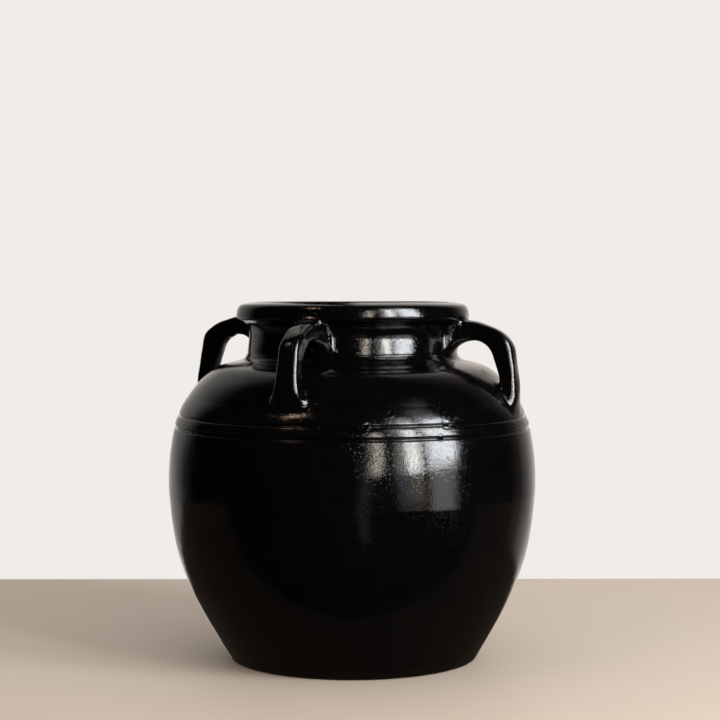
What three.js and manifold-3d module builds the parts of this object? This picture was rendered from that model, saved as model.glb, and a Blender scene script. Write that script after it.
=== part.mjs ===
// A wide-bellied, four-handled stoneware jar under a black gloss glaze.
// Millimetres, +Z up. The jar stands on z = 0 and its turning axis is the Z axis.
// It is put together the way such jars are: a flat base, a lower bowl, an upper bowl joined
// to it at the belly, a collar for the neck, a rolled rim, and four pulled strap handles.

import * as THREE from 'three';
import { mergeVertices } from 'three/addons/utils/BufferGeometryUtils.js';
import Module from 'manifold-3d';

// ---- driving dimensions ----
const JAR_HEIGHT = 260;
const BELLY_RADIUS = 134.2;
const BELLY_CREASE_HEIGHT = 121.9;
const WALL = 7;
const FOOT_RADIUS = 87.6;
const FOOT_EDGE_RADIUS = 90.8;
const FOOT_EDGE_HEIGHT = 1.4;
const FLOOR_TOP = 9;
const BASE_JOINT_HEIGHT = 6;
const FLOOR_RADIUS = 84;
const NECK_ROOT_RADIUS = 81.4;
const NECK_ROOT_HEIGHT = 218.0;
const COLLAR_RADIUS = 76;
const THROAT_RADIUS = 69.6;
const COLLAR_BOTTOM = 223.4;
const COLLAR_TOP = 235.2;
const RIM_RADIUS = 85.4;
const RIM_UNDERSIDE = 247.0;
const RIM_CREST_RADIUS = 73.2;
const UPPER_GROOVE_HEIGHT = 178.6;
const LOWER_GROOVE_HEIGHT = 169.9;
const BAND_TOP_HEIGHT = 184.4;

const HANDLE_THICKNESS_AT_TOP = 14;
const HANDLE_EDGE_ROUNDING = 3.2;
// Each handle: its bearing round the neck, in degrees from the front (-Y) turning toward +X,
// and how much higher than on the lowest its foot is pressed on and its bend stands.
// They were placed by eye, so the left one sits a little behind its quarter point.
const HANDLES = {
  front: { bearing: 0, footRise: 9.5, bendRise: 0 },
  right: { bearing: 90, footRise: 0, bendRise: 0 },
  back: { bearing: 180, footRise: 2, bendRise: 0 },
  left: { bearing: -94, footRise: 0, bendRise: 2.6 },
};
// The foot's rise fades out going up the strap, and the bend's rise fades out going down it.
const FOOT_RISE_BELOW = 226;
const BEND_RISE_ABOVE = 205;
const RISE_FADE = 30;

const JOINT_GAP = 0.3;
const TURNS = 64;

const GLAZE = { color: 0x0b0a0a, roughness: 0.1, metalness: 0 };
const BARE_BASE = { color: 0x4a3a2e, roughness: 0.85, metalness: 0 };

// ---- small helpers ----
const at = (r, z) => new THREE.Vector2(r, z);

function spline(...points) {
  return new THREE.SplineCurve(points);
}

// Position along a climbing curve where it reaches a given height.
function findHeight(curve, height) {
  let low = 0;
  let high = 1;
  for (let step = 0; step < 40; step += 1) {
    const middle = (low + high) / 2;
    if (curve.getPoint(middle).y < height) low = middle;
    else high = middle;
  }
  return (low + high) / 2;
}

function piece(curve, from, to, count) {
  const points = [];
  for (let i = 0; i <= count; i += 1) {
    points.push(curve.getPoint(from + ((to - from) * i) / count));
  }
  return points;
}

// The unit direction that points out of the wall, for a curve that climbs up the outside.
function outward(curve, t) {
  const along = curve.getTangent(t);
  return at(along.y, -along.x);
}

// The inside of a wall that follows an outside curve at a constant thickness.
function insideOf(curve, from, to, count) {
  const points = [];
  for (let i = 0; i <= count; i += 1) {
    const t = from + ((to - from) * i) / count;
    points.push(curve.getPoint(t).addScaledVector(outward(curve, t), -WALL));
  }
  return points;
}

// Turn a closed outline (radius, height) round the Z axis.
function turned(outline) {
  const raw = new THREE.LatheGeometry(outline, TURNS);
  raw.rotateX(Math.PI / 2);
  raw.deleteAttribute('normal');
  raw.deleteAttribute('uv');
  return facingOut(mergeVertices(raw, 1e-4));
}

function signedVolume(geometry) {
  const p = geometry.getAttribute('position');
  const index = geometry.getIndex();
  const a = new THREE.Vector3();
  const b = new THREE.Vector3();
  const c = new THREE.Vector3();
  let total = 0;
  for (let i = 0; i < index.count; i += 3) {
    a.fromBufferAttribute(p, index.getX(i));
    b.fromBufferAttribute(p, index.getX(i + 1));
    c.fromBufferAttribute(p, index.getX(i + 2));
    total += a.dot(b.cross(c));
  }
  return total / 6;
}

// Drop empty triangles and make the surface face outward.
function facingOut(geometry) {
  const index = geometry.getIndex();
  const flip = signedVolume(geometry) < 0;
  const kept = [];
  for (let i = 0; i < index.count; i += 3) {
    const a = index.getX(i);
    const b = index.getX(i + 1);
    const c = index.getX(i + 2);
    if (a === b || b === c || a === c) continue;
    if (flip) kept.push(a, c, b);
    else kept.push(a, b, c);
  }
  geometry.setIndex(kept);
  return geometry;
}

const wasm = await Module();
wasm.setup();

function toSolid(geometry) {
  const solidMesh = new wasm.Mesh({
    numProp: 3,
    vertProperties: new Float32Array(geometry.getAttribute('position').array),
    triVerts: new Uint32Array(geometry.getIndex().array),
  });
  return new wasm.Manifold(solidMesh);
}

function toGeometry(solid) {
  const solidMesh = solid.getMesh();
  const geometry = new THREE.BufferGeometry();
  geometry.setAttribute('position', new THREE.Float32BufferAttribute(solidMesh.vertProperties, 3));
  geometry.setIndex(Array.from(solidMesh.triVerts));
  return geometry;
}

// ---- outside curves of the wall ----
// Foot to belly crease: a cone that swells into the belly.
const lowerCurve = spline(
  at(FOOT_EDGE_RADIUS, FOOT_EDGE_HEIGHT),
  at(98.9, 15),
  at(110.4, 35.3),
  at(120.3, 55.8),
  at(127.8, 78),
  at(131.9, 100),
  at(BELLY_RADIUS, BELLY_CREASE_HEIGHT),
);

// Belly crease to the root of the neck: upright at the belly, nearly level at the neck.
const upperCurve = spline(
  at(BELLY_RADIUS, BELLY_CREASE_HEIGHT),
  at(134.3, 134),
  at(133.3, 150),
  at(130.3, 167.5),
  at(124.8, 182.6),
  at(117.4, 195.2),
  at(108.2, 205.8),
  at(97.6, 213.4),
  at(NECK_ROOT_RADIUS, NECK_ROOT_HEIGHT),
);

// Neck: a steep flare out of the shoulder, an upright collar, and a cove out to the rim.
const neckOutside = [
  at(NECK_ROOT_RADIUS, NECK_ROOT_HEIGHT),
  at(79.3, 219.2),
  at(78.0, 220.8),
  at(COLLAR_RADIUS + 0.8, COLLAR_BOTTOM),
  at(COLLAR_RADIUS + 0.9, COLLAR_BOTTOM + 0.9),
  at(COLLAR_RADIUS + 0.3, (COLLAR_BOTTOM + COLLAR_TOP) / 2),
  at(COLLAR_RADIUS - 0.3, COLLAR_TOP),
  at(COLLAR_RADIUS, 238.3),
  at(77.2, 242),
  at(79.2, 245),
  at(82.2, RIM_UNDERSIDE - 0.3),
];

// Rolled rim: a tight under edge, a nearly upright face, a round corner and a sloping top.
const rimCurve = spline(
  at(82.6, RIM_UNDERSIDE),
  at(84.5, 247.5),
  at(RIM_RADIUS, 249.6),
  at(85.2, 252.2),
  at(84.3, 255.6),
  at(83.2, 257.4),
  at(81.5, 258.5),
  at(79.2, 259.1),
  at(76.2, 259.65),
  at(RIM_CREST_RADIUS, JAR_HEIGHT),
  at(71.2, 259.2),
  at(69.9, 256.4),
  at(THROAT_RADIUS, RIM_UNDERSIDE - 0.4),
);
const RIM_STEPS = 24;

// ---- base ----
function baseDisc() {
  const jointAt = findHeight(lowerCurve, BASE_JOINT_HEIGHT);
  const edge = piece(lowerCurve, 0, jointAt, 3);
  return turned([
    at(0, 0),
    at(FOOT_RADIUS, 0),
    at(FOOT_RADIUS + 1.6, 0.12),
    at(FOOT_RADIUS + 2.7, 0.55),
    ...edge,
    at(FLOOR_RADIUS, FLOOR_TOP),
    at(0, FLOOR_TOP),
  ]);
}

// ---- lower bowl: stands on the bevelled edge of the base ----
const LAP_RISE = 4.5;

function lowerBowl() {
  const lift = JOINT_GAP * 1.08;
  const jointAt = findHeight(lowerCurve, BASE_JOINT_HEIGHT + lift);
  const outside = piece(lowerCurve, jointAt, 1, 13);
  const insideStart = findHeight(lowerCurve, 17);
  const inside = insideOf(lowerCurve, 1, insideStart, 8);
  // The top edge laps upward on the inside, so the upper bowl sits over it.
  inside[0].y = BELLY_CREASE_HEIGHT + LAP_RISE;
  const outline = [
    ...outside,
    ...inside,
    at(87.6, 12.2),
    at(FLOOR_RADIUS + 0.4, FLOOR_TOP + lift + 0.2),
    outside[0].clone(),
  ];
  return turned(outline);
}

// ---- upper bowl: belly, grooved shoulder, opening for the neck ----
// Each groove: height on the wall, depth into it, and half its width along the wall.
const GROOVES = [
  { height: LOWER_GROOVE_HEIGHT, depth: 1.5, reach: 1.7 },
  { height: UPPER_GROOVE_HEIGHT, depth: 1.2, reach: 1.5 },
];
// The wall swells a little between the grooves and in the band above them.
const BAND_RISE = 0.45;
const BAND_TOP_RISE = 0.8;
const BAND_FADE = 5;

const upperLength = upperCurve.getLength();
const groovePlaces = GROOVES.map(({ height }) => findHeight(upperCurve, height));
const bandTop = findHeight(upperCurve, BAND_TOP_HEIGHT);

// How far the bands stand out of the plain curve at a position along it.
function bandRise(t) {
  const [low, high] = groovePlaces;
  const fade = BAND_FADE / upperLength;
  if (t < low) return BAND_RISE * Math.max(0, 1 - (low - t) / fade);
  if (t < high) return BAND_RISE;
  if (t > bandTop) return BAND_TOP_RISE * Math.max(0, 1 - (t - bandTop) / fade);
  return BAND_RISE + ((BAND_TOP_RISE - BAND_RISE) * (t - high)) / (bandTop - high);
}

function grooveDepth(t) {
  let total = 0;
  GROOVES.forEach(({ depth, reach }, i) => {
    const far = ((t - groovePlaces[i]) * upperLength) / reach;
    total += depth * Math.max(0, 1 - far ** 2);
  });
  return total;
}

function upperBowl() {
  const lift = JOINT_GAP * 1.1;
  let stops = [bandTop, bandTop + BAND_FADE / upperLength];
  for (let i = 0; i <= 18; i += 1) stops.push(i / 18);
  GROOVES.forEach(({ reach }, i) => {
    const half = reach / upperLength;
    stops = stops.filter((t) => Math.abs(t - groovePlaces[i]) > half * 1.5);
    stops.push(...[-1, -0.4, 0, 0.4, 1].map((side) => groovePlaces[i] + side * half));
  });
  stops.sort((a, b) => a - b);
  const outside = stops.map((t) => {
    const push = bandRise(t) - grooveDepth(t);
    return upperCurve.getPoint(t).addScaledVector(outward(upperCurve, t), push);
  });
  outside[0].y += lift;
  const inside = insideOf(upperCurve, 0.985, 0, 10);
  inside[inside.length - 1].y = BELLY_CREASE_HEIGHT + LAP_RISE + lift;
  // The edge of the opening is bevelled down and inward for the neck to seat in.
  const opening = [at(73.9, 213.9), at(77.2, 212.0)];
  return turned([...outside, ...opening, ...inside, outside[0].clone()]);
}

// ---- neck collar ----
function neckCollar() {
  const lift = JOINT_GAP * 1.25;
  const outline = neckOutside.map((p) => p.clone());
  outline[0].y += lift;
  outline.push(
    // A tapered edge at the top that the rim is pressed down over.
    at(76.4, 252.2),
    at(74.6, 252.2),
    at(THROAT_RADIUS + 0.2, RIM_UNDERSIDE - 0.8),
    at(THROAT_RADIUS - 0.1, 240),
    at(THROAT_RADIUS, 228),
    at(70.2, 221.5),
    at(71.8, 217.2),
    at(73.9, 213.9 + lift),
    outline[0].clone(),
  );
  return turned(outline);
}

// ---- rolled rim ----
function rolledRim() {
  const around = rimCurve.getPoints(RIM_STEPS);
  const notch = [
    at(74.4, 252.2 + JOINT_GAP),
    at(76.6, 252.2 + JOINT_GAP),
  ];
  return turned([...around, ...notch, around[0].clone()]);
}

// ---- strap handles ----
// Side view of one strap: its outer edge and its inner edge, as radius and height,
// running from inside the neck wall, over the bend, and down into the shoulder.
const strapOuter = spline(
  at(73, 246.4),
  at(82, 247),
  at(91, 247.0),
  at(100.5, 244.9),
  at(111.5, 240.8),
  at(118.4, 235.6),
  at(122.2, 229.5),
  at(123.9, 221.5),
  at(125.7, 210),
  at(126.8, 198),
  at(126.4, 189.5),
  at(122.6, 182.6),
  at(117.5, 179.6),
);

const strapInner = spline(
  at(73, 220.5),
  at(78.6, 226.4),
  at(85, 230.8),
  at(94, 247.2 - HANDLE_THICKNESS_AT_TOP),
  at(101.5, 230.6),
  at(106.4, 226),
  at(109.6, 219),
  at(112.3, 211),
  at(114.3, 202.5),
  at(114.6, 195.5),
  at(112.6, 189.5),
  at(109, 186),
);

// Width of the strap along its length: fanned where it is pressed onto the neck, narrow at
// the bend, and spread again where it is pressed onto the shoulder.
const strapWidth = spline(
  at(0, 29),
  at(0.09, 22),
  at(0.2, 16.2),
  at(0.34, 15.2),
  at(0.5, 14.6),
  at(0.66, 15.6),
  at(0.78, 18),
  at(0.9, 22.5),
  at(1, 26),
);

function widthAt(t) {
  return strapWidth.getPoint(findAcross(t)).y;
}

function findAcross(t) {
  let low = 0;
  let high = 1;
  for (let step = 0; step < 30; step += 1) {
    const middle = (low + high) / 2;
    if (strapWidth.getPoint(middle).x < t) low = middle;
    else high = middle;
  }
  return (low + high) / 2;
}

const CORNER_STEPS = 2;

// Where one handle has a point of the common side view.
function ownPlace(point, { footRise, bendRise }) {
  const footShare = THREE.MathUtils.clamp((FOOT_RISE_BELOW - point.y) / RISE_FADE, 0, 1);
  const bendShare = THREE.MathUtils.clamp((point.y - BEND_RISE_ABOVE) / RISE_FADE, 0, 1);
  return at(point.x, point.y + footRise * footShare + bendRise * bendShare);
}

// A ring of points round the strap at one station: a rectangle with rounded edges.
function strapRing(t, handle) {
  const outer = ownPlace(strapOuter.getPoint(t), handle);
  const inner = ownPlace(strapInner.getPoint(t), handle);
  const middle = outer.clone().add(inner).multiplyScalar(0.5);
  const across = outer.clone().sub(inner);
  const halfDepth = across.length() / 2;
  across.normalize();
  const halfWidth = widthAt(t) / 2;
  const round = Math.min(HANDLE_EDGE_ROUNDING, halfDepth * 0.6, halfWidth * 0.6);
  const corners = [[1, 1], [-1, 1], [-1, -1], [1, -1]];
  const ring = [];
  corners.forEach(([sideways, depthways], corner) => {
    for (let i = 0; i <= CORNER_STEPS; i += 1) {
      const angle = (corner + i / CORNER_STEPS) * (Math.PI / 2);
      const u = sideways * (halfWidth - round) + Math.cos(angle) * round;
      const v = depthways * (halfDepth - round) + Math.sin(angle) * round;
      ring.push(new THREE.Vector3(u, -(middle.x + across.x * v), middle.y + across.y * v));
    }
  });
  return ring;
}

function strapSolid(handle) {
  const stations = 24;
  const positions = [];
  const triangles = [];
  const rings = [];
  for (let i = 0; i <= stations; i += 1) rings.push(strapRing(i / stations, handle));
  const sides = rings[0].length;
  rings.forEach((ring) => ring.forEach((p) => positions.push(p.x, p.y, p.z)));
  for (let i = 0; i < stations; i += 1) {
    for (let j = 0; j < sides; j += 1) {
      const a = i * sides + j;
      const b = i * sides + ((j + 1) % sides);
      triangles.push(a, b, b + sides, a, b + sides, a + sides);
    }
  }
  for (const end of [0, stations]) {
    const centre = new THREE.Vector3();
    rings[end].forEach((p) => centre.addScaledVector(p, 1 / sides));
    const hub = positions.length / 3;
    positions.push(centre.x, centre.y, centre.z);
    for (let j = 0; j < sides; j += 1) {
      const a = end * sides + j;
      const b = end * sides + ((j + 1) % sides);
      if (end === 0) triangles.push(b, a, hub);
      else triangles.push(a, b, hub);
    }
  }
  const geometry = new THREE.BufferGeometry();
  geometry.setAttribute('position', new THREE.Float32BufferAttribute(positions, 3));
  geometry.setIndex(triangles);
  return toSolid(facingOut(geometry));
}

// Everything inside the outer skin of shoulder, neck and rim, grown by the joint gap.
// It trims each strap end to the curve of the wall it is pressed against.
function trimmingBody() {
  const steps = 40;
  const skin = [at(0, BELLY_CREASE_HEIGHT)];
  for (let i = 0; i < steps; i += 1) {
    const t = i / steps;
    const push = JOINT_GAP + bandRise(t);
    skin.push(upperCurve.getPoint(t).addScaledVector(outward(upperCurve, t), push));
  }
  neckOutside.forEach((p, i) => {
    if (i === 0) skin.push(at(p.x + 0.1, p.y + JOINT_GAP));
    else skin.push(at(p.x + JOINT_GAP, p.y + 0.1));
  });
  rimCurve.getPoints(RIM_STEPS).slice(0, 12).forEach((p) => {
    const lower = p.y < 252 ? JOINT_GAP : 0;
    skin.push(at(p.x + JOINT_GAP, p.y - lower));
  });
  skin.push(at(0, JAR_HEIGHT));
  return toSolid(turned(skin));
}

// ---- the jar ----
const jar = new THREE.Group();
jar.name = 'four_handled_jar';

function add(name, geometry, { color, roughness, metalness }) {
  const flat = geometry.toNonIndexed();
  flat.computeVertexNormals();
  const material = new THREE.MeshStandardMaterial({ color, roughness, metalness });
  const mesh = new THREE.Mesh(flat, material);
  mesh.name = name;
  jar.add(mesh);
}

add('base_disc', baseDisc(), BARE_BASE);
add('lower_bowl', lowerBowl(), GLAZE);
add('upper_bowl', upperBowl(), GLAZE);
add('neck_collar', neckCollar(), GLAZE);
add('rolled_rim', rolledRim(), GLAZE);

const trimmer = trimmingBody();
for (const [side, handle] of Object.entries(HANDLES)) {
  const placed = strapSolid(handle).rotate([0, 0, handle.bearing]);
  add(`handle_${side}`, toGeometry(placed.subtract(trimmer)), GLAZE);
}

export default jar;
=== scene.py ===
"""A wide-bellied, four-handled stoneware jar under a black gloss glaze.

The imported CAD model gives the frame. Each CAD node is replaced by a fine mesh of the same piece:
the walls are turned from one continuous profile, and each strap handle is modelled as a smooth
blend of the strap into the wall it is pressed onto. Lengths in this file are millimetres unless
a name says otherwise; meshes are written in metres.
"""

import math

import bmesh
import bpy
import numpy as np
from mathutils import Matrix, Vector


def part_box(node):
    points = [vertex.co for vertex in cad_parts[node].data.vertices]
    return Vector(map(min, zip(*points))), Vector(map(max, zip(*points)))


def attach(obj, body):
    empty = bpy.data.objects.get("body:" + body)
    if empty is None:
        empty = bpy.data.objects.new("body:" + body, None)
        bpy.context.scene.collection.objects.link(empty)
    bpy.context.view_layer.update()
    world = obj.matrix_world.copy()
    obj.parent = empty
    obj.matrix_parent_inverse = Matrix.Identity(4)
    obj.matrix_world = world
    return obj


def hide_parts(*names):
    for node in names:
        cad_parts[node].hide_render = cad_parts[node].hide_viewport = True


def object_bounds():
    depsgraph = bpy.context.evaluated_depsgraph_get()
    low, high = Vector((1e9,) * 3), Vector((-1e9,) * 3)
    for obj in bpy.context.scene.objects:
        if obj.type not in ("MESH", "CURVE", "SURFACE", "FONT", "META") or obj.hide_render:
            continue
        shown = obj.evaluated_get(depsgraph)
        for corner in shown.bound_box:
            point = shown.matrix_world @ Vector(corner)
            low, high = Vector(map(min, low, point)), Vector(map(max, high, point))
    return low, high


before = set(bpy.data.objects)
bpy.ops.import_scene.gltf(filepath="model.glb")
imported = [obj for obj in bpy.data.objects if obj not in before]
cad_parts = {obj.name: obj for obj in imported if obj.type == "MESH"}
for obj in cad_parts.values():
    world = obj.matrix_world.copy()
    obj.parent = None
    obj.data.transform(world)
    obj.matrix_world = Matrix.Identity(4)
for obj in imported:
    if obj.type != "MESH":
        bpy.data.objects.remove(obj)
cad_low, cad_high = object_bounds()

MM = 0.001
CAMERA_AZIMUTH = math.radians(21)
CAMERA_DISTANCE = 1.388
CAMERA_HEIGHT = 0.2828
CAMERA_PITCH = math.radians(2.695)
CAMERA_YAW = math.radians(0.251)
CAMERA_LENS = 94.8
CAMERA_TURN = Matrix.Rotation(CAMERA_AZIMUTH, 4, "Z")

# Round the axis, angles are bearings from the front handle (-Y), turning toward the right
# handle (+X). The camera stands at bearing 21 degrees.
HANDLES = {"front": 0, "right": 90, "back": 180, "left": -94}

# Driving dimensions, read back from the frame where the frame holds them.
JAR_HEIGHT = cad_high.z / MM
WALL = 7.0
LAP_RISE = 4.5
CREASE_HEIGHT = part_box("lower_bowl")[1].z / MM - LAP_RISE
FLOOR_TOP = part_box("base_disc")[1].z / MM
FOOT_RADIUS = 87.6
FOOT_EDGE = (90.8, 1.4)
BASE_JOINT_HEIGHT = 6
BELLY_RADIUS = 134.2
NECK_ROOT = (81.4, 218.0)
THROAT_RADIUS = 69.6
COLLAR_BOTTOM = 223.4
RIM_UNDERSIDE = 247.0
LOWER_GROOVE = 169.9
UPPER_GROOVE = 178.6
BAND_TOP = 184.4
FLOOR_FLAT_RADIUS = 78

# How finely the walls are meshed: points round the axis, and how far apart the rows of each
# stretch of the section are.
SEGMENTS = 600
ROW_STEP = {
    "foot": 0.5, "base": 1.0, "lower": 1.07, "shoulder": 1.35, "grooves": 0.44, "neck": 0.55,
    "rim": 0.6, "throat": 2.2, "inside": 5, "fillet": 1.5,
}
UNDERSIDE_ROWS = 90
FLOOR_ROWS = 16


# ---------------------------------------------------------------- camera


def view_frame(x, y, z):
    """A place given as seen by the camera (x right, y away from it, z up), in metres."""
    return CAMERA_TURN @ Vector((x, y, z))


def make_camera():
    data = bpy.data.cameras.new("camera")
    data.sensor_width = 36
    data.lens = CAMERA_LENS
    camera = bpy.data.objects.new("camera", data)
    bpy.context.collection.objects.link(camera)
    camera.matrix_world = (
        CAMERA_TURN
        @ Matrix.Translation((0, -CAMERA_DISTANCE, CAMERA_HEIGHT))
        @ Matrix.Rotation(-CAMERA_YAW, 4, "Z")
        @ Matrix.Rotation(math.pi / 2 - CAMERA_PITCH, 4, "X")
    )
    bpy.context.scene.camera = camera


# ---------------------------------------------------------------- profile


def spline(points):
    """Catmull-Rom curve through points, as a function of 0..1."""
    p = np.array(points, float)
    count = len(p)

    def curve(t):
        t = np.atleast_1d(np.asarray(t, float))
        place = np.clip(t, 0, 1) * (count - 1)
        i = np.clip(np.floor(place).astype(int), 0, count - 2)
        w = (place - i)[:, None]
        p1, p2 = p[i], p[i + 1]
        p0 = p[np.maximum(i - 1, 0)]
        p3 = p[np.minimum(i + 2, count - 1)]
        v1, v2 = (p2 - p0) / 2, (p3 - p1) / 2
        cubic = (2 * p1 - 2 * p2 + v1 + v2) * w**3
        square = (-3 * p1 + 3 * p2 - 2 * v1 - v2) * w**2
        return cubic + square + v1 * w + p1

    return curve


def even(curve, step, start=0.0, end=1.0):
    """Points along a curve about step apart, from start to end."""
    t = np.linspace(start, end, 2000)
    fine = curve(t)
    run = np.concatenate([[0], np.cumsum(np.linalg.norm(np.diff(fine, axis=0), axis=1))])
    count = max(2, int(round(run[-1] / step)) + 1)
    return curve(np.interp(np.linspace(0, run[-1], count), run, t))


def at_height(curve, height):
    t = np.linspace(0, 1, 4000)
    return float(np.interp(height, curve(t)[:, 1], t))


def offset(points, distance):
    """Points moved along their outward normal, for a line that climbs up the outside."""
    along = np.gradient(points, axis=0)
    along /= np.linalg.norm(along, axis=1)[:, None]
    normal = np.stack([along[:, 1], -along[:, 0]], axis=1)
    return points + normal * np.asarray(distance).reshape(-1, 1)


def flat_rows(start, end, height, count):
    """Rows at one height, from one radius to another."""
    return np.stack([np.linspace(start, end, count), np.full(count, float(height))], axis=1)


lower_curve = spline(
    [FOOT_EDGE, (98.9, 15), (110.4, 35.3), (120.3, 55.8), (127.8, 78), (131.9, 100),
     (BELLY_RADIUS, CREASE_HEIGHT)]
)
upper_curve = spline(
    [(BELLY_RADIUS, CREASE_HEIGHT), (134.3, 134), (133.3, 150), (130.3, 167.5), (124.8, 182.6),
     (117.4, 195.2), (108.2, 205.8), (97.6, 213.4), NECK_ROOT]
)
# From the root of the neck: a steep flare, the crease under the collar, the collar, and the cove.
neck_curve = spline(
    [NECK_ROOT, (79.3, 219.2), (78.0, 220.8), (77.25, 222.4), (76.7, COLLAR_BOTTOM),
     (76.9, COLLAR_BOTTOM + 0.9), (76.55, 227.2), (76.1, 231.4), (75.7, 235.2),
     (76.0, 238.3), (77.2, 242), (79.2, 245), (82.2, RIM_UNDERSIDE - 0.3)]
)
# The rolled lip: tight under edge, nearly upright face, round corner and a flattened top.
rim_curve = spline(
    [(82.6, RIM_UNDERSIDE - 0.3), (84.5, 247.3), (85.35, 249.4), (85.2, 252.2), (84.3, 255.6),
     (83.2, 257.4), (81.5, 258.5), (79.2, 259.1), (76.2, 259.65), (73.2, JAR_HEIGHT),
     (71.2, 259.2), (69.9, 256.4), (THROAT_RADIUS, RIM_UNDERSIDE)]
)


# The heights between which the rows are fine enough for the cut grooves.
FINE_FROM = 166
FINE_TO = 191
# Each groove's depth and half its width.
LOWER_CUT = (1.75, 1.5)
UPPER_CUT = (1.45, 1.25)
# The wall swells round the grooves: this far at SWELL_BELOW under the lower one, at the lower
# one, at the upper one, at the top of the band and at SWELL_ABOVE over that. It is smoothed over
# SWELL_REACH rows each way.
SWELL = (0, 0.4, 0.5, 0.62, 0)
SWELL_BELOW = 4
SWELL_ABOVE = 10
SWELL_REACH = 9
# The ridge between the grooves is a little round besides.
RIDGE_RISE = 0.16
RIDGE_HALF_WIDTH = 3.4


def grooved_shoulder():
    """Belly and shoulder rows: fine near the two cut grooves and the ridges between them."""
    low_t, high_t = at_height(upper_curve, FINE_FROM), at_height(upper_curve, FINE_TO)
    rows = np.vstack([
        even(upper_curve, ROW_STEP["shoulder"], 0, low_t)[:-1],
        even(upper_curve, ROW_STEP["grooves"], low_t, high_t)[:-1],
        even(upper_curve, ROW_STEP["shoulder"], high_t, 1),
    ])
    run = np.concatenate([[0], np.cumsum(np.linalg.norm(np.diff(rows, axis=0), axis=1))])
    lower, upper, band_top = np.interp((LOWER_GROOVE, UPPER_GROOVE, BAND_TOP), rows[:, 1], run)
    places = [lower - SWELL_BELOW, lower, upper, band_top, band_top + SWELL_ABOVE]
    push = np.interp(run, places, SWELL)
    kernel = np.hanning(2 * SWELL_REACH + 1)
    padded = np.pad(push, SWELL_REACH, mode="edge")
    push = np.convolve(padded, kernel / kernel.sum(), mode="valid")
    from_ridge = (run - (lower + upper) / 2) / RIDGE_HALF_WIDTH
    push += RIDGE_RISE * np.clip(1 - from_ridge**2, 0, 1)
    for place, (depth, half_width) in ((lower, LOWER_CUT), (upper, UPPER_CUT)):
        bell = np.clip(1 - ((run - place) / half_width) ** 2, 0, 1)
        push -= depth * bell**1.3
    return offset(rows, push)


# The inside of the wall starts above the fillet at this height, and ends at this share of the
# upper curve, where the throat takes over.
INSIDE_FROM = 19
INSIDE_SHARE = 0.985


def wall_profile():
    """The whole section from the middle of the foot, up the outside and down the inside to the
    middle of the floor, and the row where each stretch of it ends."""
    joint = at_height(lower_curve, BASE_JOINT_HEIGHT)
    foot_edge = spline([(FOOT_RADIUS, 0), (89.2, 0.12), (90.3, 0.55), FOOT_EDGE])
    underside = flat_rows(0, FOOT_RADIUS, 0, UNDERSIDE_ROWS)
    inside_start = at_height(lower_curve, INSIDE_FROM)
    inside_lower = offset(even(lower_curve, ROW_STEP["inside"], inside_start, 1), -WALL)[::-1]
    inside_upper = offset(even(upper_curve, ROW_STEP["inside"], 0, INSIDE_SHARE), -WALL)[::-1]
    fillet = spline([inside_lower[-1], (88.4, 13.6), (84.6, 10.1), (FLOOR_FLAT_RADIUS, FLOOR_TOP)])
    throat = spline(
        [(THROAT_RADIUS, RIM_UNDERSIDE), (69.5, 240), (69.6, 228), (70.2, 221.5), (71.8, 217.2),
         (74.4, 213.9), inside_upper[0]]
    )
    floor = flat_rows(FLOOR_FLAT_RADIUS, 0, FLOOR_TOP, FLOOR_ROWS)
    # Each stretch is named after the place where it ends.
    stretches = {
        "underside": underside,
        "foot": even(foot_edge, ROW_STEP["foot"])[1:],
        "base": even(lower_curve, ROW_STEP["base"], 0, joint)[1:],
        "crease": even(lower_curve, ROW_STEP["lower"], joint, 1)[1:],
        "root": grooved_shoulder()[1:],
        "neck": even(neck_curve, ROW_STEP["neck"])[1:],
        "rim": even(rim_curve, ROW_STEP["rim"])[1:],
        "throat": even(throat, ROW_STEP["throat"])[1:],
        "inside_upper": inside_upper[1:],
        "inside_lower": inside_lower[1:],
        "fillet": even(fillet, ROW_STEP["fillet"])[1:],
        "floor": floor[1:],
    }
    ends = np.cumsum([len(rows) for rows in stretches.values()]) - 1
    return np.vstack(list(stretches.values())), dict(zip(stretches, ends))


# ---------------------------------------------------------------- hand-made unevenness

rng = np.random.default_rng(7)


def wave_set(count, amplitude, turns, climb):
    """Random smooth waves round the axis and up the wall: whole numbers of turns close up."""
    return [
        (amplitude * rng.uniform(0.4, 1) / math.sqrt(count), int(rng.integers(turns[0], turns[1])),
         rng.uniform(*climb) * rng.choice([-1, 1]), rng.uniform(0, 2 * math.pi))
        for _ in range(count)
    ]


def sum_waves(waves, bearing, climb):
    total = np.zeros(np.broadcast(bearing, climb).shape)
    for size, turns, pitch, phase in waves:
        total += size * np.sin(turns * bearing + pitch * climb + phase)
    return total


OUT_OF_ROUND = wave_set(4, 0.55, (2, 4), (0.004, 0.012))
DENTS = wave_set(26, 0.16, (3, 17), (0.02, 0.13))
RIPPLE = wave_set(20, 0.012, (3, 30), (0.05, 0.35))
RIM_WAVE = wave_set(6, 0.3, (2, 7), (0.0, 0.002))
# The lip is a little higher on one side, and the foot and neck sit a little off the axis.
RIM_TILT = 0.7
LEAN_HEIGHTS = (0, 25, 50, 80, 200, 250)
LEAN = (1.2, 0.8, 0.35, 0, 0, 0.7)
# The waves fade to nothing near the axis and at the foot. The lip's lift starts on the shoulder.
QUIET_RADIUS = 40
QUIET_HEIGHT = 25
LIFT_FROM = 195
LIFT_OVER = 60


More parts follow.
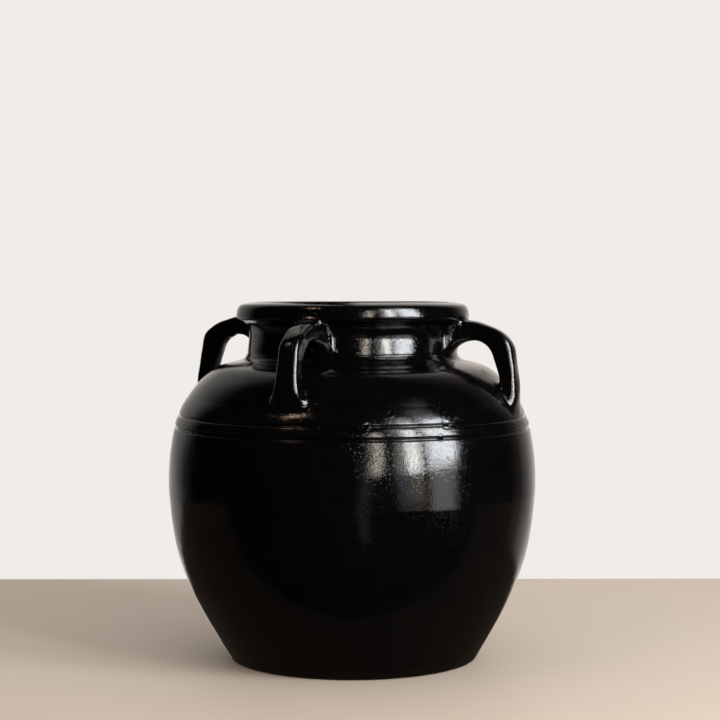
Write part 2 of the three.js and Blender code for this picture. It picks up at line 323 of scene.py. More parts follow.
def settle(points):
    """Moves points (..., 3) of the ideal jar to where the hand-made one has them."""
    x, y, z = points[..., 0], points[..., 1], points[..., 2]
    radius = np.hypot(x, y)
    bearing = np.arctan2(x, -y)
    away = np.clip(radius / QUIET_RADIUS, 0, 1) * np.clip(z / QUIET_HEIGHT, 0, 1)
    out = (
        sum_waves(OUT_OF_ROUND, bearing, z)
        + sum_waves(DENTS, bearing, z)
        + sum_waves(RIPPLE, bearing, z)
    )
    out = out * away
    rise = np.clip((z - LIFT_FROM) / LIFT_OVER, 0, 1)
    lift = sum_waves(RIM_WAVE, bearing, z) + RIM_TILT * np.cos(bearing - CAMERA_AZIMUTH)
    lean = np.interp(z, LEAN_HEIGHTS, LEAN)
    scale = 1 + out / np.maximum(radius, 1)
    return np.stack(
        [
            x * scale + lean * math.cos(CAMERA_AZIMUTH),
            y * scale + lean * math.sin(CAMERA_AZIMUTH),
            z + lift * rise,
        ],
        axis=-1,
    )


def settle_normals(points, normals):
    """Normals after settle(), from two tangents carried through it."""
    helper = np.where(np.abs(normals[..., 2:3]) < 0.8, [[0.0, 0.0, 1.0]], [[1.0, 0.0, 0.0]])
    first = np.cross(normals, helper)
    first /= np.linalg.norm(first, axis=-1, keepdims=True)
    second = np.cross(normals, first)
    step = 0.4
    moved = np.cross(
        settle(points + first * step) - settle(points - first * step),
        settle(points + second * step) - settle(points - second * step),
    )
    return moved / np.linalg.norm(moved, axis=-1, keepdims=True)


# Small flaws in the glaze: bearing in degrees, height, radius of the flaw, height of the bead
# (negative for a pit). Many sit where glaze gathers in the grooves, and the last one is a wide,
# shallow dent at the front handle's foot.
FLAWS = [
    (51, UPPER_GROOVE, 1.2, 0.9), (26, UPPER_GROOVE, 1.1, 0.7), (12, UPPER_GROOVE, 1.1, 0.6),
    (150, UPPER_GROOVE, 1.4, 0.6), (238, UPPER_GROOVE, 1.2, -0.4), (-75, UPPER_GROOVE, 1.1, 0.5),
    (48.5, LOWER_GROOVE, 1.3, 1.0), (74, LOWER_GROOVE, 1.0, 0.5), (-40, LOWER_GROOVE, 1.2, 0.5),
    (200, LOWER_GROOVE, 1.3, 0.6), (100, 172.2, 1.3, -0.5), (103, 174.1, 1.0, 0.5),
    (33, 187.5, 1.3, -0.25), (88, 211.0, 1.4, 0.5), (84, 208.6, 0.9, -0.4),
    (86, 207.4, 0.8, -0.35),
    (58, 152.0, 1.3, -0.2), (5, 140.0, 1.2, 0.22), (-22, 160.0, 1.4, -0.2), (130, 150.0, 1.3, 0.3),
    (170, 90.0, 1.6, 0.3), (-120, 70.0, 1.5, -0.3), (40, 66.0, 1.5, 0.22), (62, 98.0, 1.3, 0.2),
    (-3.0, 189.5, 6.5, -0.2),
]
# The wall's radius near the grooves, which turns a bearing into a distance along the wall.
FLAW_WALL_RADIUS = 128
BEAD_SHARPNESS = 1.4
# The faint ring round each bead or pit.
RING_DEPTH = 0.25
RING_RADIUS = 1.9
RING_SHARPNESS = 5
# The foot's edge has no flaws.
FLAWS_ABOVE = 20


def flaw_push(bearing, z):
    push = np.zeros(bearing.shape)
    for degrees, height, size, rise in FLAWS:
        turn = (bearing - math.radians(degrees) + math.pi) % (2 * math.pi) - math.pi
        far = np.hypot(turn * FLAW_WALL_RADIUS, z - height) / size
        bead = np.exp(-BEAD_SHARPNESS * far**2)
        ring = RING_DEPTH * np.exp(-RING_SHARPNESS * (far - RING_RADIUS) ** 2)
        push += rise * (bead - ring)
    return push


# ---------------------------------------------------------------- meshes


def new_mesh(name, vertices_mm, quads):
    mesh = bpy.data.meshes.new(name)
    mesh.vertices.add(len(vertices_mm))
    mesh.vertices.foreach_set("co", (vertices_mm * MM).astype(np.float32).ravel())
    mesh.loops.add(quads.size)
    mesh.loops.foreach_set("vertex_index", quads.astype(np.int32).ravel())
    mesh.polygons.add(len(quads))
    mesh.polygons.foreach_set("loop_start", np.arange(0, quads.size, 4, dtype=np.int32))
    mesh.polygons.foreach_set("loop_total", np.full(len(quads), 4, dtype=np.int32))
    mesh.update(calc_edges=True)
    mesh.validate()
    mesh.polygons.foreach_set("use_smooth", np.ones(len(mesh.polygons), dtype=bool))
    piece = bpy.data.objects.new(name, mesh)
    bpy.context.collection.objects.link(piece)
    return piece


def set_normals(piece, normals):
    piece.data.normals_split_custom_set_from_vertices(normals.astype(np.float32).tolist())


def wall_grid():
    """Every row of the wall turned round the axis: the profile, its marks, points, normals."""
    profile, marks = wall_profile()
    bearing = np.arange(SEGMENTS) * (2 * math.pi / SEGMENTS)
    along = np.gradient(profile, axis=0)
    along /= np.maximum(np.linalg.norm(along, axis=1), 1e-9)[:, None]
    flat_normal = np.stack([along[:, 1], -along[:, 0]], axis=1)
    sin, cos = np.sin(bearing), -np.cos(bearing)
    radius = np.repeat(profile[:, :1], SEGMENTS, axis=1)
    height = np.repeat(profile[:, 1:], SEGMENTS, axis=1)
    outside = np.arange(len(profile)) < marks["rim"]
    push = flaw_push(np.broadcast_to(bearing, radius.shape), height)
    push *= (outside & (profile[:, 1] > FLAWS_ABOVE))[:, None]
    push += foot_rings(profile, marks)[:, None]
    push += inside_spiral(profile, marks, bearing)
    radius = radius + push * flat_normal[:, :1]
    height = height + push * flat_normal[:, 1:]
    points = np.stack([radius * sin, radius * cos, height], axis=-1)
    points = settle(points)
    return profile, marks, points, grid_normals(points)


# Trimming rings: half their depth, how fast they follow each other, and how far out they go.
TRIM_DEPTH = 0.12
TRIM_PACE = 1.9
TRIM_RADIUS = 80


def foot_rings(profile, marks):
    """Turning marks under the foot: shallow rings left by the trimming tool."""
    rings = np.zeros(len(profile))
    under = np.arange(len(profile)) <= marks["underside"]
    radius = profile[under, 0]
    rings[under] = -TRIM_DEPTH * (1 - np.cos(radius * TRIM_PACE)) * (radius < TRIM_RADIUS)
    return rings


# The throwing marks fade in below the throat, and the middle of the floor has none.
SPIRAL_FADE_ROWS = 6
SMOOTH_FLOOR_RADIUS = 12
FINGER_WIDTH = 13
FINGER_DEPTH = 0.45


def inside_spiral(profile, marks, bearing):
    """Throwing marks inside: one finger-wide groove that winds up the wall."""
    rows = np.arange(len(profile))
    inner = profile[:, 0] > SMOOTH_FLOOR_RADIUS
    fade = np.clip((rows - marks["throat"]) / SPIRAL_FADE_ROWS, 0, 1)
    run = np.concatenate([[0], np.cumsum(np.linalg.norm(np.diff(profile, axis=0), axis=1))])
    wave = np.sin(run[:, None] * (2 * math.pi / FINGER_WIDTH) + bearing[None, :])
    return FINGER_DEPTH * wave * (inner * fade)[:, None]


def grid_normals(points):
    up = np.gradient(points, axis=0)
    round_axis = np.roll(points, -1, axis=1) - np.roll(points, 1, axis=1)
    normals = np.cross(round_axis, up)
    length = np.linalg.norm(normals, axis=-1, keepdims=True)
    normals = normals / np.maximum(length, 1e-12)
    normals[0] = (0, 0, -1)
    normals[-1] = (0, 0, 1)
    return normals


def wall_piece(name, points, rows):
    """A closed piece of wall from rows of the grid, each joined to the next, the last to the
    first; the two rows that lie on the axis are not joined to each other."""
    count = len(rows)
    last = len(points) - 1
    a = np.arange(SEGMENTS)
    b = (a + 1) % SEGMENTS
    strips = []
    for i in range(count):
        j = (i + 1) % count
        if rows[i] == last and rows[j] == 0:
            continue
        low, high = i * SEGMENTS, j * SEGMENTS
        strips.append(np.stack([low + a, low + b, high + b, high + a], axis=1))
    piece = new_mesh(name, points[rows].reshape(-1, 3), np.vstack(strips))
    merge_poles(piece, rows, last)
    return piece


def merge_poles(piece, rows, last):
    """Where a row lies on the axis its points are one point."""
    poles = [i for i, row in enumerate(rows) if row in (0, last)]
    if not poles:
        return
    work = bmesh.new()
    work.from_mesh(piece.data)
    work.verts.ensure_lookup_table()
    for i in poles:
        ring = [work.verts[i * SEGMENTS + k] for k in range(SEGMENTS)]
        bmesh.ops.pointmerge(work, verts=ring, merge_co=ring[0].co)
        work.verts.ensure_lookup_table()
    work.to_mesh(piece.data)
    work.free()


# The base's floor meets the lower bowl this many rows into the fillet.
FLOOR_JOINT_ROWS = 6


def make_walls():
    profile, marks, points, normals = wall_grid()
    last = len(profile) - 1
    floor_joint = marks["inside_lower"] + FLOOR_JOINT_ROWS
    spans = {
        "base_disc": [(floor_joint, last), (0, marks["base"])],
        "lower_bowl": [(marks["base"], marks["crease"]), (marks["inside_upper"], floor_joint)],
        "upper_bowl": [(marks["crease"], marks["root"]), (marks["throat"], marks["inside_upper"])],
        "neck_collar": [(marks["root"], marks["neck"]), (marks["rim"], marks["throat"])],
        "rolled_rim": [(marks["neck"], marks["rim"])],
    }
    pieces = {}
    for node, ranges in spans.items():
        rows = np.concatenate([np.arange(start, end + 1) for start, end in ranges])
        piece = wall_piece(node + "_clay", points, rows)
        if node != "base_disc":
            set_normals(piece, normals[rows].reshape(-1, 3))
        pieces[node] = piece
    return pieces, profile, marks


# ---------------------------------------------------------------- handles

STRAP_OUTER = [(73, 246.4), (82, 247), (91, 247.0), (100.5, 244.9), (111.5, 240.8),
               (118.4, 235.6), (122.2, 229.5), (123.9, 221.5), (125.7, 210), (126.8, 198),
               (126.4, 189.5), (122.6, 182.6), (117.5, 179.6)]
STRAP_INNER = [(73, 220.5), (78.6, 226.4), (85, 230.8), (94, 232.8), (101.5, 230.6),
               (106.4, 226), (109.6, 219), (112.3, 211), (114.3, 202.5), (114.6, 195.5),
               (112.6, 189.5), (109, 186)]
STRAP_WIDTH = [(0, 29), (0.09, 22), (0.2, 16.2), (0.34, 15.2), (0.5, 14.6), (0.66, 15.6),
               (0.78, 18), (0.9, 22.5), (1, 26)]
# Hand-pressed straps differ: the foot of one and the bend of another are set higher.
FOOT_RISE = {"front": 9.5, "back": 2.0}
BEND_RISE = {"left": 2.6}
# The foot's rise fades out going up the strap, and the bend's rise fades out going down it.
FOOT_RISE_BELOW = 226
BEND_RISE_ABOVE = 205
RISE_FADE = 30
STRAP_MIDDLE_HEIGHT = 215
# Tables of distances in the (radius, height) plane, and how far a width in one spreads.
TABLE_STEP = 0.25
WIDTH_SPREAD = 30
TABLE_LOW = np.array([62.0, 172.0])
TABLE_HIGH = np.array([136.0, 262.0])


def table_grid():
    """The (radius, height) of every place in a table."""
    counts = ((TABLE_HIGH - TABLE_LOW) / TABLE_STEP).astype(int) + 1
    r, z = (TABLE_LOW[i] + np.arange(counts[i]) * TABLE_STEP for i in range(2))
    return np.stack(np.meshgrid(r, z, indexing="ij"), axis=-1)


def distance_table(line, closed, inside):
    """Signed distance to a line in the (radius, height) plane, on a fine grid."""
    places = table_grid()
    grid = places.reshape(-1, 2)
    a = line
    b = np.roll(line, -1, axis=0)
    if not closed:
        a, b = a[:-1], b[:-1]
    best = np.full(len(grid), 1e9)
    for start, end in zip(a, b):
        edge = end - start
        rel = grid - start
        t = np.clip((rel @ edge) / max(edge @ edge, 1e-12), 0, 1)
        best = np.minimum(best, np.hypot(*(rel - t[:, None] * edge).T))
    sign = np.where(inside(grid), -1.0, 1.0)
    return (best * sign).reshape(places.shape[:2])


def in_polygon(polygon):
    def test(grid):
        result = np.zeros(len(grid), bool)
        x, y = grid[:, 0], grid[:, 1]
        for (x1, y1), (x2, y2) in zip(polygon, np.roll(polygon, -1, axis=0)):
            if y1 == y2:
                continue
            cross = ((y1 > y) != (y2 > y)) & (x < (x2 - x1) * (y - y1) / (y2 - y1) + x1)
            result ^= cross
        return result

    return test


def look_up(table, r, z):
    """Bilinear value of a table at (r, z)."""
    u = np.clip((r - TABLE_LOW[0]) / TABLE_STEP, 0, table.shape[0] - 1.001)
    v = np.clip((z - TABLE_LOW[1]) / TABLE_STEP, 0, table.shape[1] - 1.001)
    i, j = u.astype(int), v.astype(int)
    fu, fv = u - i, v - j
    low = table[i, j] * (1 - fv) + table[i, j + 1] * fv
    high = table[i + 1, j] * (1 - fv) + table[i + 1, j + 1] * fv
    return low * (1 - fu) + high * fu


def strap_tables(profile, marks):
    """Distance to the wall's outside and to the strap's side view, and the strap's width."""
    wall_line = profile[marks["crease"] : marks["rim"] + 1]
    wall_polygon = np.vstack([[[0, wall_line[0, 1]]], wall_line, [[0, wall_line[-1, 1]]]])
    wall = distance_table(wall_line, False, in_polygon(wall_polygon))
    t = np.linspace(0, 1, 90)
    outer, inner = spline(STRAP_OUTER)(t), spline(STRAP_INNER)(t)
    side = np.vstack([outer, inner[::-1]])
    strap = distance_table(side, True, in_polygon(side))
    middle = (outer + inner) / 2
    grid = table_grid()
    width_line = spline(STRAP_WIDTH)(np.linspace(0, 1, 400))
    width = np.interp(t, width_line[:, 0], width_line[:, 1])
    total = np.zeros(strap.shape)
    weight = np.zeros(strap.shape)
    for centre, value in zip(middle, width):
        far = (grid[..., 0] - centre[0]) ** 2 + (grid[..., 1] - centre[1]) ** 2
        near = np.exp(-far / WIDTH_SPREAD) + 1e-30
        total += near * value
        weight += near
    return wall, strap, total / weight


def smooth_least(a, b, reach):
    """The lesser of two distances, rounded where they meet."""
    h = np.maximum(reach - np.abs(a - b), 0) / reach
    return np.minimum(a, b) - h * h * reach / 4


class Handle:
    """One strap as an implicit surface, in its own frame: u across, rho outward, z up."""

    # The strap's edge rounding, how far its clay is smoothed out over the wall, how deep it goes
    # into the wall, and how much thinner it gets toward its edges.
    EDGE = 3.0
    SKIRT = 6.5
    ROOT_DEPTH = 1.6
    CROWN = 0.014

    def __init__(self, tables, seed, foot_rise, bend_rise):
        self.wall, self.strap, self.width = tables
        self.foot_rise = foot_rise
        self.bend_rise = bend_rise
        own = np.random.default_rng(seed)
        self.lean = own.uniform(-0.012, 0.012)
        self.waves = [
            (own.uniform(0.05, 0.13), own.uniform(0.08, 0.35, 3) * own.choice([-1, 1], 3),
             own.uniform(0, 6.28))
            for _ in range(7)
        ]

    def parts(self, u, rho, z):
        """Distance to the strap and to the wall."""
        across = u + self.lean * (z - STRAP_MIDDLE_HEIGHT)
        own_z = z - self.foot_rise * np.clip((FOOT_RISE_BELOW - z) / RISE_FADE, 0, 1)
        own_z = own_z - self.bend_rise * np.clip((z - BEND_RISE_ABOVE) / RISE_FADE, 0, 1)
        flat = look_up(self.strap, rho, own_z) + across**2 * self.CROWN
        half = look_up(self.width, rho, own_z) / 2
        side = np.abs(across) - half
        edge = self.EDGE
        corner = np.hypot(np.maximum(flat + edge, 0), np.maximum(side + edge, 0))
        strap = corner + np.minimum(np.maximum(flat + edge, side + edge), 0) - edge
        for size, pace, phase in self.waves:
            strap = strap + size * np.sin(pace[0] * u + pace[1] * rho + pace[2] * z + phase)
        wall = look_up(self.wall, np.hypot(u, rho), z)
        return strap, wall

    def value(self, u, rho, z):
        strap, wall = self.parts(u, rho, z)
        joined = smooth_least(strap, wall, self.SKIRT)
        shell = np.maximum(joined, -(wall + self.ROOT_DEPTH))
        return np.maximum(shell, strap - self.SKIRT * 0.98)

    def gradient(self, p, step=0.35):
        result = np.zeros_like(p)
        for axis in range(3):
            shift = np.zeros(3)
            shift[axis] = step
            high = self.value(*(p + shift).T)
            low = self.value(*(p - shift).T)
            result[:, axis] = (high - low) / (2 * step)
        return result


def surface_net(values, origin, step):
    """Quads round the zero surface of a grid of values: one point in each cell it crosses."""
    inside = values < 0
    nx, ny, nz = values.shape
    sums = np.zeros((nx - 1, ny - 1, nz - 1, 3))
    hits = np.zeros((nx - 1, ny - 1, nz - 1))
    corner = [(i, j, k) for i in (0, 1) for j in (0, 1) for k in (0, 1)]

    def part(array, c):
        return array[c[0] : nx - 1 + c[0], c[1] : ny - 1 + c[1], c[2] : nz - 1 + c[2]]

    for a in corner:
        for axis in range(3):
            if a[axis]:
                continue
            b = tuple(1 if i == axis else a[i] for i in range(3))
            va, vb = part(values, a), part(values, b)
            crossing = part(inside, a) != part(inside, b)
            t = np.where(crossing, va / np.where(crossing, va - vb, 1), 0)
            place = np.array(a, float)
            for i in range(3):
                along = t if i == axis else place[i]
                sums[..., i] += np.where(crossing, along, 0)
            hits += crossing
    cells = np.argwhere(hits > 0)
    number = np.full(hits.shape, -1)
    number[tuple(cells.T)] = np.arange(len(cells))
    points = sums[tuple(cells.T)] / hits[tuple(cells.T)][:, None] + cells
    quads = []
    for axis in range(3):
        one, two = (axis + 1) % 3, (axis + 2) % 3
        low = [slice(1, -1)] * 3
        low[axis] = slice(0, -1)
        high = list(low)
        high[axis] = slice(1, None)
        first, second = inside[tuple(low)], inside[tuple(high)]
        for flip in (False, True):
            edges = np.argwhere((first & ~second) if not flip else (~first & second))
            base = edges.copy()
            base[:, one] += 1
            base[:, two] += 1
            loop = []
            for d1, d2 in ((0, 0), (-1, 0), (-1, -1), (0, -1)):
                cell = base.copy()
                cell[:, one] += d1
                cell[:, two] += d2
                loop.append(number[tuple(cell.T)])
            if flip:
                loop = loop[::-1]
            quads.append(np.stack(loop, axis=1))
    return points * step + origin, np.vstack(quads)


# The block of space (u, rho, z) that one handle fills, and how finely it is sampled.
NET_LOW = np.array([-30.0, 64.0, 174.0])
NET_SIZE = np.array([60.0, 68.0, 80.0])
NET_STEP = 0.66
# The skirt stands a hair off the wall that it runs out on, so that the two faces never coincide.
SKIN = 0.012
FIRST_SEED = 500


def make_handle(side, bearing, tables):
    seed = FIRST_SEED + bearing
    handle = Handle(tables, seed, FOOT_RISE.get(side, 0), BEND_RISE.get(side, 0))
    counts = (NET_SIZE / NET_STEP).astype(int)
    axes = [NET_LOW[i] + np.arange(counts[i]) * NET_STEP for i in range(3)]
    grid = np.meshgrid(*axes, indexing="ij")
    points, quads = surface_net(handle.value(*grid), NET_LOW, NET_STEP)
    # A few steps down the slope bring each point onto the surface itself.
    for _ in range(3):
        slope = handle.gradient(points, 0.12)
        size = np.maximum((slope**2).sum(axis=1), 0.25)
        move = handle.value(*points.T) / size
        points = points - slope * np.clip(move, -0.4, 0.4)[:, None]
    normals = handle.gradient(points)
    normals /= np.maximum(np.linalg.norm(normals, axis=1), 1e-9)[:, None]
    turn = math.radians(bearing)
    # u runs toward growing bearing, rho points out along the bearing.
    basis = np.array([
        [math.cos(turn), math.sin(turn), 0],
        [math.sin(turn), -math.cos(turn), 0],
        [0, 0, 1],
    ])
    points, normals = points @ basis, normals @ basis
    moved_normals = settle_normals(points, normals)
    moved = settle(points) + normals * SKIN
    if face_agreement(moved, quads, moved_normals) < 0:
        quads = quads[:, ::-1]
    piece = new_mesh("handle_" + side + "_strap", moved, quads)
    set_normals(piece, moved_normals)
    return piece


def face_agreement(points, quads, normals):
    """Positive when the faces turn the same way as the normals."""
    a, b, c, d = (points[quads[:, i]] for i in range(4))
    facing = np.cross(c - a, d - b)
    return float((facing * normals[quads[:, 0]]).sum())


# ---------------------------------------------------------------- materials


class Nodes:
    """A material's node tree with short helpers."""

    # The colour sockets of a Mix node, which share their names with its other sockets.
    MIX_FIRST = 6
    MIX_SECOND = 7
    MIX_RESULT = 2

    def __init__(self, name):
        self.material = bpy.data.materials.new(name)
        self.material.use_nodes = True
        self.tree = self.material.node_tree
        self.shader = self.tree.nodes["Principled BSDF"]
        self.place = self.tree.nodes.new("ShaderNodeTexCoord").outputs["Object"]

    def link(self, source, target):
        self.tree.links.new(source, target)

    def noise(self, per_metre, detail, rough):
        node = self.tree.nodes.new("ShaderNodeTexNoise")
        node.inputs["Scale"].default_value = per_metre
        node.inputs["Detail"].default_value = detail
        node.inputs["Roughness"].default_value = rough
        self.link(self.place, node.inputs["Vector"])
        return node.outputs["Fac"]

    def dots(self, per_metre, size, share):
        """Small round spots in some of the cells of a cell pattern: 1 at the middle, 0 outside."""
        cells = self.tree.nodes.new("ShaderNodeTexVoronoi")
        cells.inputs["Scale"].default_value = per_metre
        self.link(self.place, cells.inputs["Vector"])
        spot = self.remap(cells.outputs["Distance"], 0.0, size, 1.0, 0.0, smooth=True)
        split = self.tree.nodes.new("ShaderNodeSeparateColor")
        self.link(cells.outputs["Color"], split.inputs["Color"])
        chosen = self.remap(split.outputs["Red"], 1 - share, 1 - share + 0.01, 0.0, 1.0)
        return self.math("MULTIPLY", spot, chosen)

    def remap(self, value, from_low, from_high, to_low, to_high, smooth=False):
        node = self.tree.nodes.new("ShaderNodeMapRange")
        node.interpolation_type = "SMOOTHSTEP" if smooth else "LINEAR"
        node.inputs["From Min"].default_value = from_low
        node.inputs["From Max"].default_value = from_high
        node.inputs["To Min"].default_value = to_low
        node.inputs["To Max"].default_value = to_high
        self.link(value, node.inputs["Value"])
        return node.outputs["Result"]

    def math(self, kind, a, b):
        node = self.tree.nodes.new("ShaderNodeMath")
        node.operation = kind
        for socket, value in zip(node.inputs, (a, b)):
            if isinstance(value, (int, float)):
                socket.default_value = value
            else:
                self.link(value, socket)
        return node.outputs["Value"]

    def mix(self, factor, a, b):
        node = self.tree.nodes.new("ShaderNodeMix")
        node.data_type = "RGBA"
        self.link(factor, node.inputs["Factor"])
        for key, value in ((self.MIX_FIRST, a), (self.MIX_SECOND, b)):
            if isinstance(value, tuple):
                node.inputs[key].default_value = (*value, 1)
            else:
                self.link(value, node.inputs[key])
        return node.outputs[self.MIX_RESULT]

    def bump(self, height):
        """Raises the surface by a height in metres."""
        node = self.tree.nodes.new("ShaderNodeBump")
        node.inputs["Distance"].default_value = 1.0
        node.inputs["Strength"].default_value = 1.0
        self.link(height, node.inputs["Height"])
        self.link(node.outputs["Normal"], self.shader.inputs["Normal"])


def black_glaze():
    """Thick black gloss: a slow mottle, orange-peel ripple, pinholes, pimples and fine pale
    grains, whose lighter colour is partly dust-like specks and partly painted glints.
    """
    look = Nodes("black_glaze")
    mottle = look.remap(look.noise(55, 3, 0.6), 0.35, 0.68, 0.0, 1.0, smooth=True)
    body = look.mix(mottle, (0.0009, 0.0009, 0.0010), (0.0014, 0.0013, 0.0013))
    iron = look.remap(look.noise(900, 2, 0.6), 0.62, 0.8, 0.0, 0.35)
    colour = look.mix(iron, body, (0.008, 0.006, 0.005))
    # Fine pale grains: rougher specks like dust in the glaze, and their lighter colour is partly a
    # painted glint, standing in for sparkle of the window light.
    pale_grains_and_painted_glints = look.dots(600, 0.2, 0.25)
    colour = look.mix(look.math("MULTIPLY", pale_grains_and_painted_glints, 0.18), colour, (0.09, 0.085, 0.08))
    look.link(colour, look.shader.inputs["Base Color"])
    gloss = look.remap(look.noise(130, 3, 0.6), 0.3, 0.7, 0.06, 0.10)
    gloss = look.math("ADD", gloss, look.math("MULTIPLY", pale_grains_and_painted_glints, 0.12))
    look.link(gloss, look.shader.inputs["Roughness"])
    look.shader.inputs["IOR"].default_value = 1.52
    peel_fine = look.math("MULTIPLY", look.noise(1300, 0.0, 0.5), 4.0e-5)
    peel_wide = look.math("MULTIPLY", look.noise(230, 2, 0.5), 4.2e-5)
    pinholes = look.math("MULTIPLY", look.dots(330, 0.17, 0.4), -5.0e-5)
    pimples = look.math("MULTIPLY", look.dots(620, 0.36, 1.0), 3.8e-5)
    grit = look.math("MULTIPLY", look.dots(1000, 0.36, 0.8), 1.3e-5)
    blisters = look.math("MULTIPLY", look.dots(450, 0.24, 0.35), 6.0e-5)
    peel = look.math("ADD", peel_fine, peel_wide)
    spots = look.math("ADD", pinholes, pimples)
    grit_and_blisters = look.math("ADD", grit, blisters)
    look.bump(look.math("ADD", look.math("ADD", peel, spots), grit_and_blisters))
    return look.material


def base_clay():
    """Dark fired clay, bare on the resting face, with glaze on the edge and floor above it."""
    look = Nodes("base_clay")
    split = look.tree.nodes.new("ShaderNodeSeparateXYZ")
    look.link(look.place, split.inputs[0])
    wander = look.math("MULTIPLY", look.noise(90, 3, 0.6), -0.0016)
    ragged = look.math("ADD", split.outputs["Z"], wander)
    glazed = look.remap(ragged, -0.0006, 0.0002, 0.0, 1.0)
    grain = look.noise(420, 5, 0.65)
    clay = look.mix(grain, (0.060, 0.042, 0.032), (0.115, 0.086, 0.066))
    specks = look.dots(260, 0.16, 0.3)
    clay = look.mix(specks, clay, (0.030, 0.020, 0.015))
    glaze = look.mix(look.noise(55, 3, 0.6), (0.0017, 0.0014, 0.0015), (0.0030, 0.0024, 0.0021))
    look.link(look.mix(glazed, clay, glaze), look.shader.inputs["Base Color"])
    bare_rough = look.remap(grain, 0.3, 0.7, 0.72, 0.92)
    bare = look.math("SUBTRACT", 1.0, glazed)
    glaze_rough = look.math("MULTIPLY", glazed, 0.09)
    rough = look.math("ADD", look.math("MULTIPLY", bare_rough, bare), glaze_rough)
    look.link(rough, look.shader.inputs["Roughness"])
    look.shader.inputs["IOR"].default_value = 1.5
    tooth = look.math("MULTIPLY", look.math("MULTIPLY", grain, 1.4e-4), bare)
    peel = look.math("MULTIPLY", look.noise(620, 1.5, 0.5), 6.0e-5)
    look.bump(look.math("ADD", tooth, peel))
    return look.material


# ---------------------------------------------------------------- stage and light

# In metres from the jar, as the camera sees it. The floor lies a hair below the foot.
FLOOR_SIDE = 1.4
FLOOR_FRONT = -1.2
FLOOR_BACK = 0.343
FLOOR_HEIGHT = -0.0001


def make_floor():
    """A pale floor that ends a little way behind the jar, as the top of a plinth does."""
    corners = (
        (-FLOOR_SIDE, FLOOR_FRONT), (FLOOR_SIDE, FLOOR_FRONT),
        (FLOOR_SIDE, FLOOR_BACK), (-FLOOR_SIDE, FLOOR_BACK),
    )
    places = [view_frame(x, y, FLOOR_HEIGHT) for x, y in corners]
    mesh = bpy.data.meshes.new("floor")
    mesh.from_pydata([tuple(p) for p in places], [], [(0, 1, 2, 3)])
    floor = bpy.data.objects.new("floor", mesh)
    bpy.context.collection.objects.link(floor)
    floor.visible_glossy = False
    look = Nodes("pale_floor")
    tone = look.mix(look.noise(14, 4, 0.6), (0.44, 0.37, 0.30), (0.47, 0.40, 0.33))
    look.link(tone, look.shader.inputs["Base Color"])
    look.shader.inputs["Roughness"].default_value = 0.62
    mesh.materials.append(look.material)


def area_light(name, width, height, radiance, colour):
    """A rectangle of light that the camera doesn't see, equally bright all over."""
    light = bpy.data.lights.new(name, "AREA")
    light.shape = "RECTANGLE"
    light.size = width
    light.size_y = height
    light.energy = radiance * math.pi * width * height
    light.color = colour
    panel = bpy.data.objects.new(name, light)
    bpy.context.collection.objects.link(panel)
    panel.visible_camera = False
    return panel


PANEL_DISTANCE = 1.3
PANEL_HEIGHT = 0.15


def soft_panel(name, azimuths, elevations, radiance, colour, gloss_only):
    """An upright rectangle of light round the jar, between two azimuths (degrees to the right of
    the camera) and two elevations (degrees above the jar's middle)."""
    low, high = (PANEL_HEIGHT + PANEL_DISTANCE * math.tan(math.radians(e)) for e in elevations)
    spread = math.radians(azimuths[1] - azimuths[0])
    turn = math.radians(sum(azimuths) / 2)
    width = 2 * PANEL_DISTANCE * math.tan(spread / 2)
    panel = area_light(name, width, high - low, radiance, colour)
    away = (math.sin(turn), -math.cos(turn))
    panel.location = view_frame(
        away[0] * PANEL_DISTANCE, away[1] * PANEL_DISTANCE, (low + high) / 2
    )
    panel.rotation_mode = "QUATERNION"
    panel.rotation_quaternion = view_frame(-away[0], -away[1], 0).to_track_quat("-Z", "Y")
    panel.visible_diffuse = not gloss_only


COOL = (0.93, 0.965, 1.0)
WHITE = (1.0, 0.985, 0.96)
WARM = (1.0, 0.90, 0.78)
BLUISH = (0.85, 0.9, 1.0)
TAN = (1.0, 0.86, 0.68)
LAMP = (1.0, 0.66, 0.46)

# Panels: name, azimuths, elevations, radiance, colour, seen only in the gloss.
PANELS = [
    ("window_right", (46.8, 64.5), (6, 36), 18, COOL, False),
    ("window_right_top", (46, 64.5), (36, 45), 3, COOL, False),
    ("window_right_low", (46.5, 63), (-12.5, 6), 2.0, WHITE, False),
    ("window_left", (33.2, 41.8), (3.5, 36), 20, WHITE, False),
    ("window_left_top", (32, 42), (36, 45), 3.5, WHITE, False),
    ("window_left_low", (34, 42), (-10, 3.5), 1.2, TAN, False),
    ("curtain", (25.5, 33), (3, 40), 2.2, WHITE, True),
    ("curtain_low", (27, 33.5), (-10, 3), 0.8, BLUISH, True),
    ("window_glow", (47, 66), (45, 56), 0.9, WHITE, True),
    ("screen", (12.6, 16.8), (3, 32), 10, WARM, False),
    ("screen_side", (10, 12.6), (3, 28), 2.5, WARM, True),
    ("screen_low", (6.5, 10.5), (-22, 12), 0.35, BLUISH, True),
    ("small_lamp", (-53, -41.5), (43, 54), 7, LAMP, False),
]
# The pale wall behind, seen only in the gloss: brightest behind the jar, dimmer to the sides.
WALL_STEP = 6
RIGHT_WALL_FROM = 114
RIGHT_WALL = (0.05, 0.07, 0.22, 0.34, 0.48, 0.64, 0.75, 0.8, 0.85, 0.85, 0.85)
LEFT_WALL_FROM = -120
LEFT_WALL = (0.04, 0.12, 0.27, 0.37, 0.44, 0.46, 0.5, 0.62, 0.75, 0.85)
RIGHT_WALL_COLOUR = (1.0, 0.9, 0.82)
LEFT_WALL_COLOUR = (1.0, 0.95, 0.9)
# The walls' elevations: the left one starts lower and lower toward the back.
WALL_TOP = 70
RIGHT_WALL_BASE = -19
LEFT_WALL_BASE = -9
LEFT_WALL_DROP = 1.3

ROOM_COLOUR = (0.87, 0.835, 0.81, 1)
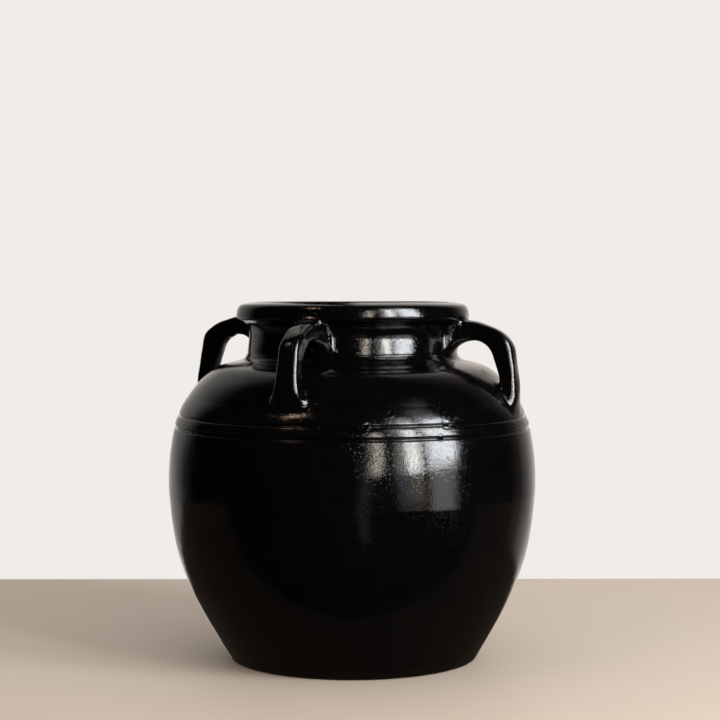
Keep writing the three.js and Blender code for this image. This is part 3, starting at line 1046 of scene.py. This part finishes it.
# What the gloss sees of the floor, in metres: a dim warm sheet that lies on it.
SHEEN_SIZE = (1.6, 0.49)
SHEEN_PLACE = (0, 0.1, 0.0006)
SHEEN_RADIANCE = 0.045
SHEEN_COLOUR = (1.0, 0.74, 0.52)


def make_light():
    world = bpy.data.worlds.new("soft_room")
    bpy.context.scene.world = world
    world.use_nodes = True
    background = world.node_tree.nodes["Background"]
    background.inputs["Color"].default_value = ROOM_COLOUR
    background.inputs["Strength"].default_value = 1.0
    world.cycles_visibility.glossy = False

    for panel in PANELS:
        soft_panel(*panel)
    for i, radiance in enumerate(RIGHT_WALL):
        azimuth = RIGHT_WALL_FROM + i * WALL_STEP
        soft_panel(f"wall_right_{i}", (azimuth, azimuth + WALL_STEP), (RIGHT_WALL_BASE, WALL_TOP),
                   radiance, RIGHT_WALL_COLOUR, True)
    for i, radiance in enumerate(LEFT_WALL):
        azimuth = LEFT_WALL_FROM - i * WALL_STEP
        base = LEFT_WALL_BASE - LEFT_WALL_DROP * i
        soft_panel(f"wall_left_{i}", (azimuth, azimuth + WALL_STEP), (base, WALL_TOP),
                   radiance, LEFT_WALL_COLOUR, True)
    floor_sheen()


def floor_sheen():
    """The floor as the gloss sees it: as dim as a shaded table top."""
    sheen = area_light("floor_sheen", *SHEEN_SIZE, SHEEN_RADIANCE, SHEEN_COLOUR)
    face_up = Matrix.Rotation(math.pi, 4, "X")
    sheen.matrix_world = CAMERA_TURN @ Matrix.Translation(SHEEN_PLACE) @ face_up
    sheen.visible_diffuse = False


# ---------------------------------------------------------------- the jar

make_camera()
make_floor()
make_light()

glaze = black_glaze()
clay = base_clay()

walls, wall_line, wall_marks = make_walls()
for node, piece in walls.items():
    piece.data.materials.append(clay if node == "base_disc" else glaze)
    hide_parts(node)
    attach(piece, "root")

tables = strap_tables(wall_line, wall_marks)
for side, bearing in HANDLES.items():
    piece = make_handle(side, bearing, tables)
    piece.data.materials.append(glaze)
    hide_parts("handle_" + side)
    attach(piece, "root")

bpy.context.scene.view_settings.view_transform = "Standard"
